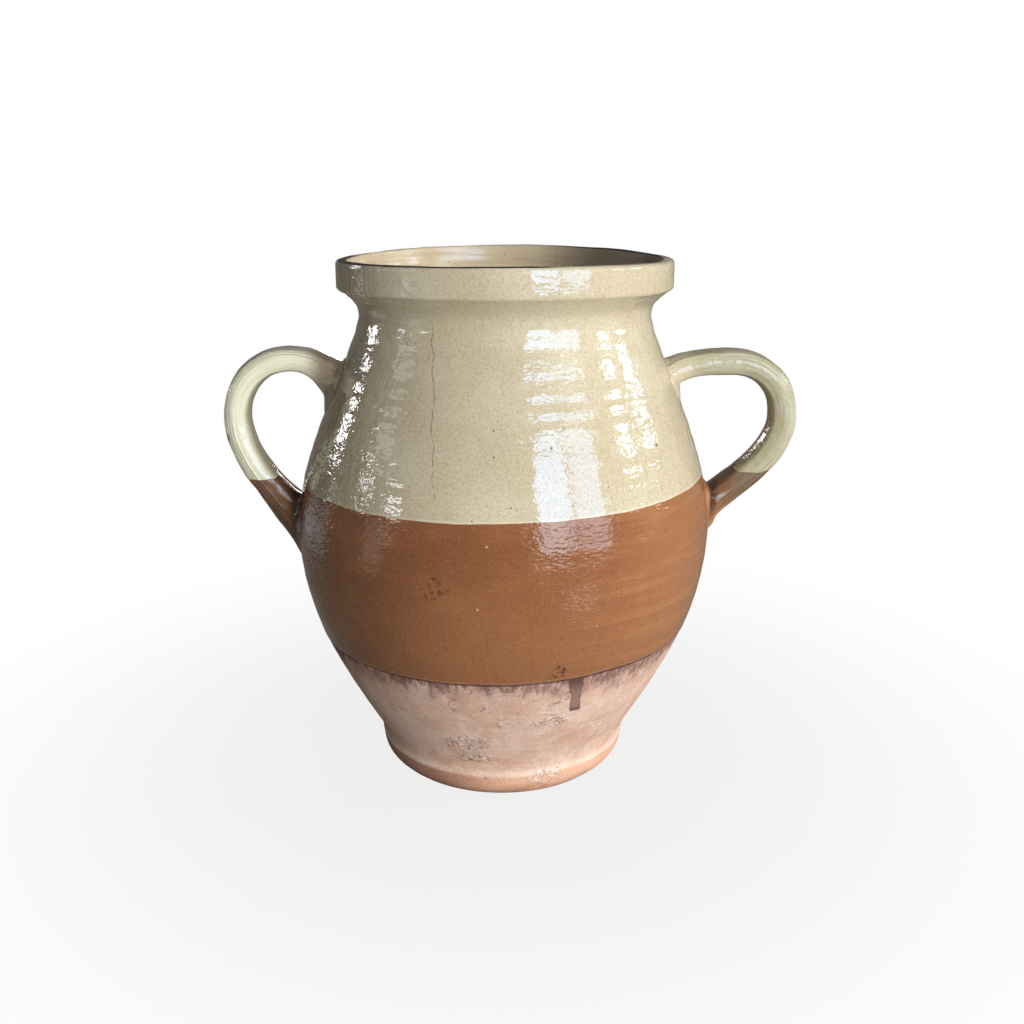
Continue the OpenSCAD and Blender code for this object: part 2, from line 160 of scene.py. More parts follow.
def pick(piece, wanted):
    """Edit mode with only the points selected that a test on their place wants."""
    if bpy.context.mode != "OBJECT":
        bpy.ops.object.mode_set(mode="OBJECT")
    bpy.ops.object.select_all(action="DESELECT")
    piece.select_set(True)
    bpy.context.view_layer.objects.active = piece
    bpy.ops.object.mode_set(mode="EDIT")
    bpy.ops.mesh.select_mode(type="VERT")
    bpy.ops.mesh.select_all(action="DESELECT")
    bpy.ops.object.mode_set(mode="OBJECT")
    for vertex in piece.data.vertices:
        vertex.select = wanted(vertex.co)
    bpy.ops.object.mode_set(mode="EDIT")


def wobbled(piece):
    """The unevenness that hands leave in a turned wall, alike at the same place of every coat."""
    finish_with(piece, "wobble", "DISPLACE", texture=hand_wobble, texture_coords="LOCAL",
                direction="NORMAL", strength=0.0012, mid_level=0.80)
    finish_with(piece, "dents", "DISPLACE", texture=hand_dents, texture_coords="LOCAL",
                direction="NORMAL", strength=0.00022, mid_level=0.7)


bpy.ops.object.select_all(action="DESELECT")
bpy.ops.object.add(type="LATTICE", location=(0, 0, 0.15))
lean = bpy.context.object
lean.name = "lean_of_the_pot"
lean.data.points_u, lean.data.points_v, lean.data.points_w = 3, 3, 7
lean_wide, lean_high = 0.36, 0.30
lean.scale = (lean_wide, lean_wide, lean_high)
bpy.context.view_layer.update()
side_lean = (-0.0017, -0.0014, -0.0009, -0.0004, 0.0, 0.0004, 0.0003)
lip_sag = 0.0100
for i, point in enumerate(lean.data.points):
    level, column = i // 9, i % 3
    point.co_deform[0] += side_lean[level] / lean_wide
    if level == len(side_lean) - 1:
        point.co_deform[2] += (0.5 if column == 1 else -1) * lip_sag / lean_high


def leaned(piece):
    """The lean of the whole pot and the sag of its lip towards the handles."""
    finish_with(piece, "lean", "LATTICE", object=lean)


def shaded(piece, angle=50):
    """Smooth faces with the sharp edges kept."""
    bpy.ops.object.select_all(action="DESELECT")
    piece.select_set(True)
    bpy.context.view_layer.objects.active = piece
    bpy.ops.object.shade_smooth_by_angle(angle=math.radians(angle))


class Level:
    """A node's output in a shader, which can be reckoned with as if it were a number."""

    def __init__(self, socket):
        self.socket, self.tree = socket, socket.id_data

    def __add__(self, other):
        return reckon("ADD", self, other)

    def __sub__(self, other):
        return reckon("SUBTRACT", self, other)

    def __rsub__(self, other):
        return reckon("SUBTRACT", other, self)

    def __mul__(self, other):
        return reckon("MULTIPLY", self, other)

    def __truediv__(self, other):
        return reckon("DIVIDE", self, other)

    def __rtruediv__(self, other):
        return reckon("DIVIDE", other, self)

    def __lt__(self, other):
        return reckon("LESS_THAN", self, other)

    def __abs__(self):
        return reckon("ABSOLUTE", self)


def put(tree, kind, links=None, **settings):
    """A shader node with its settings, and with values or other nodes' outputs on its inputs."""
    node = tree.nodes.new("ShaderNode" + kind)
    for key, value in settings.items():
        setattr(node, key, value)
    for key, value in (links or {}).items():
        if isinstance(value, Level):
            tree.links.new(value.socket, node.inputs[key])
        else:
            node.inputs[key].default_value = value
    return node


def got(tree, kind, links=None, output=0, **settings):
    """What a new shader node gives at one of its outputs."""
    return Level(put(tree, kind, links, **settings).outputs[output])


def tree_of(*values):
    """The tree of the first level among some values."""
    return next(value.tree for value in values if isinstance(value, Level))


def reckon(operation, *values):
    """A Math node on one or two values."""
    return got(tree_of(*values), "Math", dict(enumerate(values)), operation=operation)


def most(one, other):
    """The larger of two levels."""
    return reckon("MAXIMUM", one, other)


def fade(value, low, high):
    """A soft step from 0 at low to 1 at high."""
    return got(value.tree, "MapRange", {"Value": value, "From Min": low, "From Max": high},
               interpolation_type="SMOOTHSTEP")


def laid(share, under, over, way="MIX"):
    """One colour laid over another by a share."""
    return got(tree_of(share, under, over), "Mix", {0: share, 6: under, 7: over}, 2,
               data_type="RGBA", blend_type=way)


def scaled(place, factor):
    """A place with its distances from the origin multiplied."""
    return got(place.tree, "VectorMath", {0: place, "Scale": factor}, operation="SCALE")


def grain(place, size, stretch=(1, 1, 1), detail=2.0, rough=0.5):
    """Noise whose features are about size millimetres, stretched along X, Y and Z."""
    cells = got(place.tree, "VectorMath", {0: place, 1: [1 / (size * s) for s in stretch]},
                operation="MULTIPLY")
    return got(place.tree, "TexNoise", {"Vector": cells, "Scale": 1.0, "Detail": detail,
                                        "Roughness": rough})


def material(name, roughness, gloss):
    """A new material, its shader, the place on the pot in millimetres, and that place's X, Y, Z."""
    made = bpy.data.materials.new(name)
    made.use_nodes = True
    tree = made.node_tree
    shader = tree.nodes["Principled BSDF"]
    shader.inputs["Roughness"].default_value = roughness
    shader.inputs["Specular IOR Level"].default_value = gloss
    place = scaled(got(tree, "TexCoord", output="Object"), 1000.0)
    axes = put(tree, "SeparateXYZ", {0: place}).outputs
    return made, shader, place, Level(axes[0]), Level(axes[1]), Level(axes[2])


def skinned(shader, colour, relief, roughness=None):
    """Gives a shader its colour, fine relief in millimetres and, where it varies, roughness."""
    tree = shader.id_data
    bump = got(tree, "Bump", {"Height": relief, "Distance": 0.001, "Strength": 1.0})
    for key, value in (("Base Color", colour), ("Normal", bump), ("Roughness", roughness)):
        if value is not None:
            tree.links.new(value.socket, shader.inputs[key])


specks = bpy.data.node_groups.new("specks", "ShaderNodeTree")
for socket, value in (("Place", None), ("Cell", 10.0), ("Size", 0.05), ("Share", 0.3)):
    kind = "NodeSocketVector" if value is None else "NodeSocketFloat"
    made = specks.interface.new_socket(socket, in_out="INPUT", socket_type=kind)
    if value is not None:
        made.default_value = value
specks.interface.new_socket("Mask", in_out="OUTPUT", socket_type="NodeSocketFloat")
given = specks.nodes.new("NodeGroupInput").outputs
spot, cell, size, share = (Level(given[key]) for key in ("Place", "Cell", "Size", "Share"))
dots = put(specks, "TexVoronoi", {"Vector": scaled(spot, 1.0 / cell), "Scale": 1.0}).outputs
chosen = got(specks, "SeparateColor", {0: Level(dots["Color"])}) < share
near = 1.0 - fade(Level(dots["Distance"]), size * 0.5, size)
result = specks.nodes.new("NodeGroupOutput")
specks.links.new((near * chosen).socket, result.inputs["Mask"])


def speckled(place, cell, size, share):
    """The mask of scattered specks: size and cell in millimetres, share of the cells with one."""
    return got(place.tree, "Group", {"Place": place, "Cell": cell, "Size": size / cell,
                                     "Share": share}, node_tree=specks)


def patch(x, z, y, mid_x, mid_z, wide, high):
    """1 in the middle of a patch on the front of the pot, fading to 0 at its rim."""
    across = (x - mid_x) / wide
    up = (z - mid_z) / high
    return (y < 0.0) * fade(across * across + up * up, 1.0, 0.25)


bare_clay, shader, place, x, y, z = material("bare_clay", 0.9, 0.25)
clouds = grain(place, 34, detail=5, rough=0.6)
dust = grain(place, 7, (1, 1, 1.7), detail=6, rough=0.7)
turned = grain(place, 5, (14, 14, 0.6), detail=3)
grit = grain(place, 0.9, detail=3, rough=0.7)
stains = grain(place, 12, (1.5, 1.5, 0.6), detail=5, rough=0.6)
colour = laid(fade(clouds, 0.35, 0.68), (0.67, 0.415, 0.305, 1), (0.77, 0.55, 0.445, 1))
colour = laid(fade(dust, 0.44, 0.72) * 0.6, colour, (0.9, 0.74, 0.64, 1))
colour = laid(fade(turned, 0.5, 0.75) * 0.35, colour, (0.54, 0.335, 0.25, 1))
rusty = fade(stains, 0.5, 0.66) * fade(z, 62.0, 22.0)
colour = laid(rusty * 0.5, colour, (0.64, 0.35, 0.21, 1))
peach = fade(z + dust * 2.0, 16.6, 14.8) * 0.85
# Painted shade: the foot band is laid darker towards the left, the side away from the light; stains
# lie over it.
band_colour = laid(fade(x, 10.0, -45.0), (0.78, 0.45, 0.295, 1), (0.38, 0.185, 0.13, 1))
band_colour = laid(fade(stains, 0.5, 0.64) * 0.5, band_colour, (0.43, 0.21, 0.12, 1))
colour = laid(peach, colour, band_colour)
# A painted highlight: a pale line round the top of the foot's rounded band, where it catches the
# light.
painted_foot_highlight = fade(z, 12.6, 15.2) * fade(z, 19.0, 16.0)
colour = laid(painted_foot_highlight * fade(clouds, 0.2, 0.8), colour, (0.88, 0.7, 0.58, 1))
below = x * math.tan(brown_tilt) + brown_line * 1000 - z
runs = grain(place, 3.0, (1, 1, 7), detail=3, rough=0.6)
blots = grain(place, 11, (1, 1, 1.6), detail=3)
reach = (fade(runs, 0.42, 0.7) * 11.0 + fade(blots, 0.45, 0.7) * 6.0
         + most(fade(x, -20.0, 60.0), fade(x, -15.0, -60.0)) * 4.0
         + patch(x, z, y, 34.0, 84.0, 26.0, 14.0) * 5.0
         + patch(x, z, y, 66.0, 84.0, 30.0, 22.0) * 4.0)
wash = 1.0 - fade(below / (reach + 1.0), -0.2, 1.3)
wash = wash * (fade(runs, 0.3, 0.6) * 0.8 + 0.2)
veil = fade(below, 24.0, -3.0) * (fade(blots, 0.35, 0.65) * 0.55 + 0.3)
colour = laid(veil, colour, (0.375, 0.22, 0.185, 1))
colour = laid(wash * 0.9, colour, (0.155, 0.072, 0.06, 1))
seam = fade(below, 2.0, 0.4)
colour = laid(seam * 0.9, colour, (0.06, 0.028, 0.025, 1))
tide = abs(grain(place, 17, (1, 1, 0.8), detail=3) - 0.52)
tide = fade(tide, 0.016, 0.002) * fade(below, 4.0, 9.0) * fade(below, 30.0, 18.0)
tide = tide * patch(x, z, y, 2.0, 68.0, 52.0, 26.0)
net = abs(grain(place, 9, (1.3, 1.3, 0.8), detail=4) - 0.5)
net = fade(net, 0.05, 0.005) * patch(x, z, y, 9.0, 59.0, 24.0, 11.0)
tide = most(tide, net * fade(dust, 0.45, 0.62))
colour = laid(tide * 0.65, colour, (0.25, 0.14, 0.12, 1))
ragged = (grain(place, 3.0, detail=3) - 0.5) * 3.2
drip_x = abs(x + ragged - 36.4) - fade(z, 73.0, 84.0) * 1.6
drip = fade(drip_x, 2.9, 2.2) * fade(z, 61.6, 62.8) * (y < 0.0)
drip_rim = most(most(fade(drip_x, 1.5, 2.5), fade(z, 65.6, 63.0)), fade(z, 74.0, 84.0))
drip_colour = laid(drip_rim, (0.27, 0.15, 0.12, 1), (0.105, 0.052, 0.045, 1))
colour = laid(drip * 0.9, colour, drip_colour)
flaky = most(patch(x, z, y, -20.0, 39.0, 15.0, 8.0),
             most(patch(x, z, y, -16.0, 28.0, 15.0, 4.5),
                  most(patch(x, z, y, 24.0, 56.0, 11.0, 4.5),
                       patch(x, z, y, 21.0, 12.0, 13.0, 6.0) * 0.6)))
flakes = got(place.tree, "TexVoronoi", {"Vector": scaled(place, 0.31), "Scale": 1.0}, "Distance",
             feature="DISTANCE_TO_EDGE")
chips = flaky * fade(grain(place, 2.6, detail=4), 0.5, 0.57)
cracks = flaky * fade(flakes, 0.1, 0.02) * fade(grain(place, 6, detail=2), 0.48, 0.6)
colour = laid(chips * 0.65, colour, (0.93, 0.79, 0.7, 1))
colour = laid(cracks * 0.65, colour, (0.18, 0.1, 0.08, 1))
pits = speckled(place, 7.0, 0.8, 0.5)
colour = laid(pits * 0.55, colour, (0.26, 0.15, 0.12, 1))
colour = laid(0.8, colour,
              laid(fade(grit, 0.25, 0.75), (0.36, 0.36, 0.36, 1), (0.66, 0.66, 0.66, 1)), "OVERLAY")
relief = grit * 0.1 + dust * 0.2 + turned * 0.16 - cracks * 0.3 + chips * 0.6 - pits * 0.25
skinned(shader, colour, relief)

underside = [(0, 0), (0.03, 0), (0.055, 0)]
thrown_wall = spun("thrown_wall", underside + raised(outside, 0) + crest + inside)
wobbled(thrown_wall)
leaned(thrown_wall)
pick(thrown_wall, lambda p: p.z < 0.0009)
bpy.ops.transform.resize(value=(1, 1, 0), center_override=(0, 0, 0))
bpy.ops.object.mode_set(mode="OBJECT")
shaded(thrown_wall)
thrown_wall.data.materials.append(bare_clay)
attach(thrown_wall, "root")
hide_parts("thrown_body")

# The cream glaze is the upper half's fired coat: the pot was dipped mouth down as far as the belly.
# It is thick, glossy and a little uneven over the ridges, crazed at the left of the front and
# pricked by pinholes, and it ends in a thin rolled edge that lies on the brown coat.
cream_t = 0.0006
cream_line, cream_tilt = 0.1717, math.radians(0.9)
coat_sway = 0.0008
crest_at = len(outside) - 5

cream_glaze, shader, place, x, y, z = material("cream_glaze", 0.1, 0.7)
clouds = grain(place, 38, detail=4, rough=0.55)
mottle = grain(place, 2.4, detail=4, rough=0.7)
streaks = grain(place, 2.6, (1, 1, 22), detail=3, rough=0.6)
fine = grain(place, 0.9, detail=3, rough=0.7)
colour = laid(fade(clouds, 0.32, 0.7), (0.53, 0.458, 0.318, 1), (0.595, 0.54, 0.395, 1))
colour = laid(fade(mottle, 0.44, 0.7) * 0.25, colour, (0.46, 0.38, 0.245, 1))
drawn = fade(abs(x), 30.0, 70.0) * 0.25 + 0.25
colour = laid(fade(streaks, 0.5, 0.78) * drawn, colour, (0.43, 0.345, 0.22, 1))
# Paler along the cream's rolled edge: the glaze is thicker there, and a painted highlight where the
# edge catches the light.
rolled = z - (x * math.tan(cream_tilt) + cream_line * 1000)
colour = laid(fade(rolled, 1.7, 0.5) * 0.5, colour, (0.74, 0.67, 0.5, 1))
shaded_side = fade(x, -48.0, -94.0)
colour = laid(shaded_side * fade(streaks, 0.42, 0.66) * 0.6, colour, (0.36, 0.25, 0.145, 1))
# Painted shade: the upper left of the shoulder and neck is laid darker, away from the light.
painted_shade_upper_left = fade(x, -35.0, -72.0) * fade(z, 252.0, 230.0)
colour = laid(painted_shade_upper_left * 0.28, colour, (0.33, 0.27, 0.175, 1))
# Painted shade round the left handle's upper root on the wall.
painted_root_shade = fade(x, -74.0, -92.0) * fade(abs(z - 219.0), 26.0, 8.0)
colour = laid(painted_root_shade * 0.55, colour, (0.25, 0.19, 0.12, 1))
drift = (grain(place, 16, (60, 60, 1), detail=4) - 0.5) * 9.0
dashes = fade(grain(place, 1.8, (1, 1, 2.2), detail=3), 0.38, 0.54)
craze = abs(x + drift + 34.5)
craze = fade(craze, 0.45, 0.16) * fade(z, 180.0, 184.0) * fade(z, 264.0, 256.0)
leaning = x + (250.0 - z) * 0.26
branch = abs(leaning + drift * 0.7 + 36.0)
branch = fade(branch, 0.42, 0.15) * fade(z, 205.0, 212.0) * fade(z, 252.0, 246.0)
craze = most(craze, branch * 0.4) * dashes * (y < 0.0)
colour = laid(craze * 0.65, colour, (0.17, 0.12, 0.07, 1))
pinholes = speckled(place, 16.0, 0.55, 0.35)
for hole_x, hole_z, size in ((22.4, 205.5, 0.75), (28.5, 214.0, 0.5), (-5.2, 214.0, 0.5),
                             (-5.2, 202.0, 0.55), (3.0, 179.0, 0.5), (77.0, 200.0, 0.7)):
    pinholes = most(pinholes, patch(x, z, y, hole_x, hole_z, size, size))
iron = most(speckled(place, 2.6, 0.42, 0.4),
            fade(grain(place, 0.8, (1, 1, 3.5), detail=1), 0.66, 0.74))
colour = laid(iron * 0.4, colour, (0.3, 0.22, 0.125, 1))
colour = laid(pinholes * 0.9, colour, (0.05, 0.035, 0.025, 1))
colour = laid(0.8, colour,
              laid(fade(fine, 0.25, 0.75), (0.38, 0.38, 0.38, 1), (0.62, 0.62, 0.62, 1)), "OVERLAY")
peel = grain(place, 6.0, (1, 1, 0.8), detail=2)
crawl = grain(place, 2.8, (1.8, 1.8, 0.9), detail=2)
rougher = fade(abs(x - 16.0), 24.0, 40.0)
flank = fade(abs(x), 54.0, 76.0)
wavy = fade(z, 202.0, 210.0) * fade(z, 254.0, 246.0) * (1.0 - rougher)
crawl = crawl * (flank * 0.22 + rougher * 0.06 + wavy * 0.26 + 0.14)
relief = peel * 0.12 + crawl + fine * 0.003 - pinholes * 0.2 - craze * 0.03
skinned(shader, colour, relief, clouds * 0.03 + 0.015)


def swayed(piece, height):
    """A coat pushed up and down here and there, so that a straight cut leaves an uneven edge."""
    finish_with(piece, "sway", "DISPLACE", texture=hand_dents, texture_coords="LOCAL",
                direction="Z", strength=height, mid_level=0.5)


def trimmed(piece, z, tilt, keep_above):
    """A coat cut along a dipped edge that runs a little unevenly; the cut end is left open."""
    swayed(piece, coat_sway)
    pick(piece, lambda p: True)
    bpy.ops.mesh.bisect(plane_co=(0, 0, z), plane_no=(-math.sin(tilt), 0, math.cos(tilt)),
                        clear_inner=keep_above, clear_outer=not keep_above)
    bpy.ops.object.mode_set(mode="OBJECT")
    swayed(piece, -coat_sway)


def coated(piece, thickness):
    """A coat's thickness, laid inwards from its glossy face, with its edges rounded by the fire."""
    finish_with(piece, "coat", "SOLIDIFY", thickness=thickness, offset=-1, use_even_offset=True)
    finish_with(piece, "melt", "BEVEL", width=thickness * 0.42, segments=3, limit_method="ANGLE",
                angle_limit=math.radians(55))


cream_coat = spun("cream_coat", raised(outside, cream_t)[shoulder_at + 6:crest_at + 1])
wobbled(cream_coat)
trimmed(cream_coat, cream_line, cream_tilt, True)
coated(cream_coat, cream_t)
leaned(cream_coat)
shaded(cream_coat)
cream_coat.data.materials.append(cream_glaze)
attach(cream_coat, "root")
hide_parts("cream_glaze")

# The brown glaze is the belt round the belly: an iron-red coat brushed and poured thinner than the
# cream. Its gloss is broken by fine ripples and a pale grain, brush bands show at the right, and it
# stops in an uneven edge above the bare clay.
brown_t = 0.0004

brown_glaze, shader, place, x, y, z = material("brown_glaze", 0.1, 1.0)
shader.inputs["Specular Tint"].default_value = (1.0, 0.70, 0.48, 1)
clouds = grain(place, 30, (1, 1, 0.7), detail=5, rough=0.6)
streaks = grain(place, 3.0, (1, 1, 14), detail=4, rough=0.65)
fine = grain(place, 0.9, detail=4, rough=0.75)
colour = laid(fade(z, 95.0, 168.0), (0.305, 0.128, 0.056, 1), (0.225, 0.082, 0.036, 1))
# Painted light and shade: the brown is laid lighter towards the right, where the light falls, and
# darker towards the left.
colour = laid(fade(x, 35.0, 100.0) * 0.6, colour, (0.4, 0.185, 0.085, 1))
colour = laid(fade(x, -15.0, -80.0) * 0.6, colour, (0.15, 0.06, 0.03, 1))
colour = laid(fade(clouds, 0.42, 0.7) * 0.4, colour, (0.345, 0.15, 0.067, 1))
colour = laid(fade(streaks, 0.5, 0.75) * 0.35, colour, (0.2, 0.072, 0.033, 1))
brushed = fade(grain(place, 7, (9, 9, 0.7), detail=3), 0.45, 0.62) * fade(x, 15.0, 75.0)
colour = laid(brushed * 0.3, colour, (0.44, 0.215, 0.1, 1))
colour = laid(fade(fine, 0.52, 0.74) * 0.6, colour, (0.47, 0.235, 0.115, 1))
colour = laid(fade(fine, 0.46, 0.28) * 0.6, colour, (0.12, 0.036, 0.018, 1))
hem = z - (x * math.tan(brown_tilt) + brown_line * 1000)
colour = laid(fade(hem, 1.4, 0.4) * 0.45, colour, (0.45, 0.25, 0.15, 1))
scar = abs(grain(place, 8, detail=3) - 0.5)
scar = fade(scar, 0.12, 0.03) * patch(x, z, y, -35.0, 139.0, 10.0, 8.5)
scar = scar * fade(grain(place, 2.0, detail=4), 0.48, 0.6)
colour = laid(scar * 0.75, colour, (0.09, 0.03, 0.02, 1))
smudge = patch(x, z, y, 26.5, 92.0, 6.0, 6.0) * fade(grain(place, 1.6, detail=4), 0.5, 0.58)
colour = laid(smudge * 0.8, colour, (0.075, 0.028, 0.02, 1))
flecks = speckled(place, 11.0, 0.6, 0.25)
for fleck_x, fleck_z in ((-8.6, 161.0), (-13.2, 129.5)):
    flecks = most(flecks, patch(x, z, y, fleck_x, fleck_z, 0.8, 0.8))
colour = laid(flecks * 0.5, colour, (0.72, 0.58, 0.42, 1))
peel = grain(place, 7, (1, 1, 0.6), detail=3)
pebble = grain(place, 1.5, (2.0, 2.0, 0.9), detail=1, rough=0.5)
rippled = fade(x, -45.0, 5.0) * 0.09 + fade(x, -78.0, -92.0) * 0.24 + 0.15
relief = fine * 0.012 + peel * 0.1 + pebble * rippled + brushed * 0.15 - scar * 0.1
skinned(shader, colour, relief, fine * 0.1 + 0.05)

brown_coat = spun("brown_coat", raised(outside, brown_t)[belly_at + 20:shoulder_at + 22])
wobbled(brown_coat)
trimmed(brown_coat, cream_line, cream_tilt, False)
trimmed(brown_coat, brown_line, brown_tilt, True)
coated(brown_coat, brown_t)
leaned(brown_coat)
shaded(brown_coat)
brown_coat.data.materials.append(brown_glaze)
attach(brown_coat, "root")
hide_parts("brown_glaze")

# The liner is the same cream glaze, poured in and swilled round the inside: thinner, ringed and
# freckled from the lip down to the floor, and duller at the right. Painted shade lays it darker
# deeper down and dark at the right under the neck.
liner_t = 0.0005

liner_cream, shader, place, x, y, z = material("liner_cream", 0.14, 0.5)
clouds = grain(place, 24, (1, 1, 0.5), detail=5, rough=0.6)
rings = grain(place, 4.0, (16, 16, 0.6), detail=3)
fine = grain(place, 0.8, detail=3, rough=0.65)
colour = laid(fade(clouds, 0.35, 0.68), (0.68, 0.56, 0.38, 1), (0.79, 0.69, 0.5, 1))
colour = laid(fade(rings, 0.5, 0.75) * 0.35, colour, (0.42, 0.32, 0.19, 1))
# Painted shade: the liner is laid darker deeper inside.
colour = laid(fade(z, 266.0, 235.0) * 0.4, colour, (0.34, 0.26, 0.165, 1))
# Painted shade: the inside at the right under the neck is laid dark.
painted_shade_right = fade(x, 5.0, 58.0) * fade(z, 222.0, 242.0)
colour = laid(painted_shade_right * 0.88, colour, (0.105, 0.076, 0.048, 1))
freckles = speckled(place, 5.0, 0.8, 0.4)
colour = laid(freckles * 0.5, colour, (0.22, 0.14, 0.08, 1))
colour = laid(0.25, colour, laid(fine, (0.4, 0.4, 0.4, 1), (0.62, 0.62, 0.62, 1)), "OVERLAY")
skinned(shader, colour, rings * 0.45 + fine * 0.01, fade(x, 10.0, 60.0) * 0.35 + 0.12)

liner_coat = spun("liner_coat", raised(inside, liner_t, False)[3:])
wobbled(liner_coat)
coated(liner_coat, liner_t)
leaned(liner_coat)
shaded(liner_coat)
liner_coat.data.materials.append(liner_cream)
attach(liner_coat, "root")
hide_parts("liner_glaze")

# The lip line is a thin dark slip brushed along the crest of the lip. It is almost black from the
# left round to the middle of the front and at the back right, and pale glaze elsewhere.
lip_line_t = 0.0004

lip_slip, shader, place, x, y, z = material("lip_slip", 0.3, 0.5)
around = reckon("ARCTAN2", x, y * -1.0)
patchy = grain(place, 7, detail=4, rough=0.65)
dark = fade(around, -2.0, -1.7) * fade(around, 0.4, 0.15)
dark = most(dark, fade(around, 1.45, 1.75) * fade(around, 2.9, 2.6))
dark = dark * fade(patchy, 0.2, 0.35)
colour = laid(dark, (0.6, 0.53, 0.39, 1), (0.012, 0.009, 0.008, 1))
skinned(shader, colour, patchy * 0.05, dark * 0.35 + 0.15)

brushed_line = spun("brushed_line", raised((outside + crest + inside)[crest_at - 1:crest_at + 11],
                                           lip_line_t, False)[1:-1])
wobbled(brushed_line)
coated(brushed_line, lip_line_t)
leaned(brushed_line)
shaded(brushed_line)
brushed_line.data.materials.append(lip_slip)
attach(brushed_line, "root")
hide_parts("lip_line")

# The two handles are straps of clay pulled by hand: a soft-cornered strip with finger grooves along
# it, pressed on the shoulder and the belly, where its ends are smeared out into the wall. Each was
# dipped with the pot, so its upper part is cream and its lower end brown.
strap_w, root_w, strap_girth, strap_sway = 0.022, 0.027, 0.056, 0.003
strap_lines = (24, 38, 156, 142)
press_out, press_splay = 0.012, 0.006
cream_over_brown, on_wall = 0.00018, 0.096


def strap_material(name, roughness, gloss):
    """A strap's material: also gives the place on its skin, and how far round the strap that is."""
    made, shader, place, x, y, z = material(name, roughness, gloss)
    skin = scaled(got(place.tree, "UVMap", uv_map="skin"), 1000.0)
    return made, shader, place, x, y, z, skin, got(place.tree, "SeparateXYZ", {0: skin})


strap_cream, shader, place, x, y, z, skin, across = strap_material("strap_cream", 0.1, 0.5)
clouds = grain(place, 14, detail=4, rough=0.6)
drawn = grain(skin, 1.5, (1, 26, 1), detail=3, rough=0.6)
fine = grain(place, 0.55, detail=3, rough=0.65)
# Painted light: the left strap's glaze is laid far paler than the right strap's, one glaze painted
# lit and shaded.
left_strap_painted_lighter = fade(x, -90.0, -112.0)
colour = laid(fade(clouds, 0.35, 0.68), (0.41, 0.385, 0.255, 1), (0.47, 0.455, 0.335, 1))
colour = laid(left_strap_painted_lighter * 0.95, colour, (0.92, 0.91, 0.71, 1))
streaky = laid(left_strap_painted_lighter, (0.31, 0.28, 0.155, 1), (0.76, 0.73, 0.42, 1))
colour = laid(fade(drawn, 0.48, 0.66) * 0.6, colour, streaky)
colour = laid(fade(drawn, 0.44, 0.28) * 0.5, colour,
              laid(left_strap_painted_lighter, (0.72, 0.705, 0.58, 1), (0.95, 0.95, 0.84, 1)))
sway = across + (clouds - 0.5) * 1.2
lines = most(fade(abs(sway - 4.9), 0.5, 0.1), fade(abs(sway - 6.6), 0.5, 0.1))
lines = lines * fade(x, 90.0, -90.0)
colour = laid(lines * 0.6, colour, (0.33, 0.3, 0.165, 1))
# Painted shade: the strap's inner face towards the wall is laid browner and darker, and its top
# face greyer and darker.
inner = fade(abs(across + 14.0), 8.5, 3.5)
outer = fade(abs(across - 14.0), 5.8, 4.4)
colour = laid(inner * 0.7, colour, (0.23, 0.165, 0.09, 1))
colour = laid(outer * 0.45, colour, (0.25, 0.23, 0.175, 1))
# Near the wall the strap takes the wall's colour, laid darker at the left to meet the wall's
# painted shade there.
near_wall = fade(abs(x), 110.0, 97.0)
colour = laid(near_wall, colour,
              laid(fade(x, 60.0, -60.0), (0.555, 0.48, 0.335, 1), (0.34, 0.275, 0.185, 1)))
iron = speckled(place, 4.2, 0.5, 0.35)
colour = laid(iron * 0.25, colour, (0.3, 0.23, 0.13, 1))
knock = patch(x, z, y, -154.6, 190.5, 2.2, 3.4)
colour = laid(knock * fade(fine, 0.4, 0.6), colour, (0.06, 0.06, 0.07, 1))
colour = laid(0.2, colour, laid(fine, (0.4, 0.4, 0.4, 1), (0.62, 0.62, 0.62, 1)), "OVERLAY")
streak = fade(abs(sway - 0.6), 1.0, 0.1) * fade(z, 212.0, 192.0) * fade(x, -60.0, -90.0)
waves = fade(x, -60.0, 60.0) * 0.16 + 0.2
relief = (drawn * 0.08 + streak * 0.3 + grain(place, 2.4, detail=2) * waves
          - lines * 0.1 - knock * 0.3)
skinned(shader, colour, relief, clouds * 0.06 + 0.04)

strap_brown, shader, place, x, y, z, skin, across = strap_material("strap_brown", 0.14, 0.7)
shader.inputs["Specular Tint"].default_value = (1.0, 0.80, 0.62, 1)
clouds = grain(place, 12, detail=4, rough=0.6)
drawn = grain(skin, 1.6, (1, 20, 1), detail=3, rough=0.6)
fine = grain(place, 0.9, detail=4, rough=0.75)
colour = laid(fade(clouds, 0.35, 0.68), (0.2, 0.088, 0.042, 1), (0.285, 0.135, 0.068, 1))
colour = laid(fade(x, 120.0, 134.0) * 0.8, colour, (0.17, 0.145, 0.105, 1))
# Painted sheen: the left strap's brown end is laid greyer.
colour = laid(fade(x, -118.0, -134.0) * 0.35, colour, (0.2, 0.155, 0.115, 1))
colour = laid(fade(drawn, 0.47, 0.66) * 0.8, colour, (0.085, 0.055, 0.035, 1))
colour = laid(fade(drawn, 0.45, 0.3) * 0.5, colour, (0.44, 0.29, 0.18, 1))
# Near the wall the brown end takes the wall's brown, lighter at the right and darker at the left
# like the wall's painted light and shade.
near_wall = fade(abs(x), 123.0, 117.0)
colour = laid(near_wall, colour,
              laid(fade(x, 60.0, -60.0), (0.36, 0.16, 0.073, 1), (0.18, 0.072, 0.036, 1)))
# A painted reflection: a tan sheen along the lower outer side of the right strap's brown end.
painted_table_sheen = fade(abs(across - 8.0), 5.0, 1.5) * fade(x, 112.0, 119.0) * fade(x, 138.0, 124.0)
colour = laid(painted_table_sheen * 0.6, colour, (0.5, 0.3, 0.165, 1))
inner = abs(across + 14.0)
out = reckon("SQRT", x * x + y * y)
off_wall = fade(out, 116.0, 118.5)
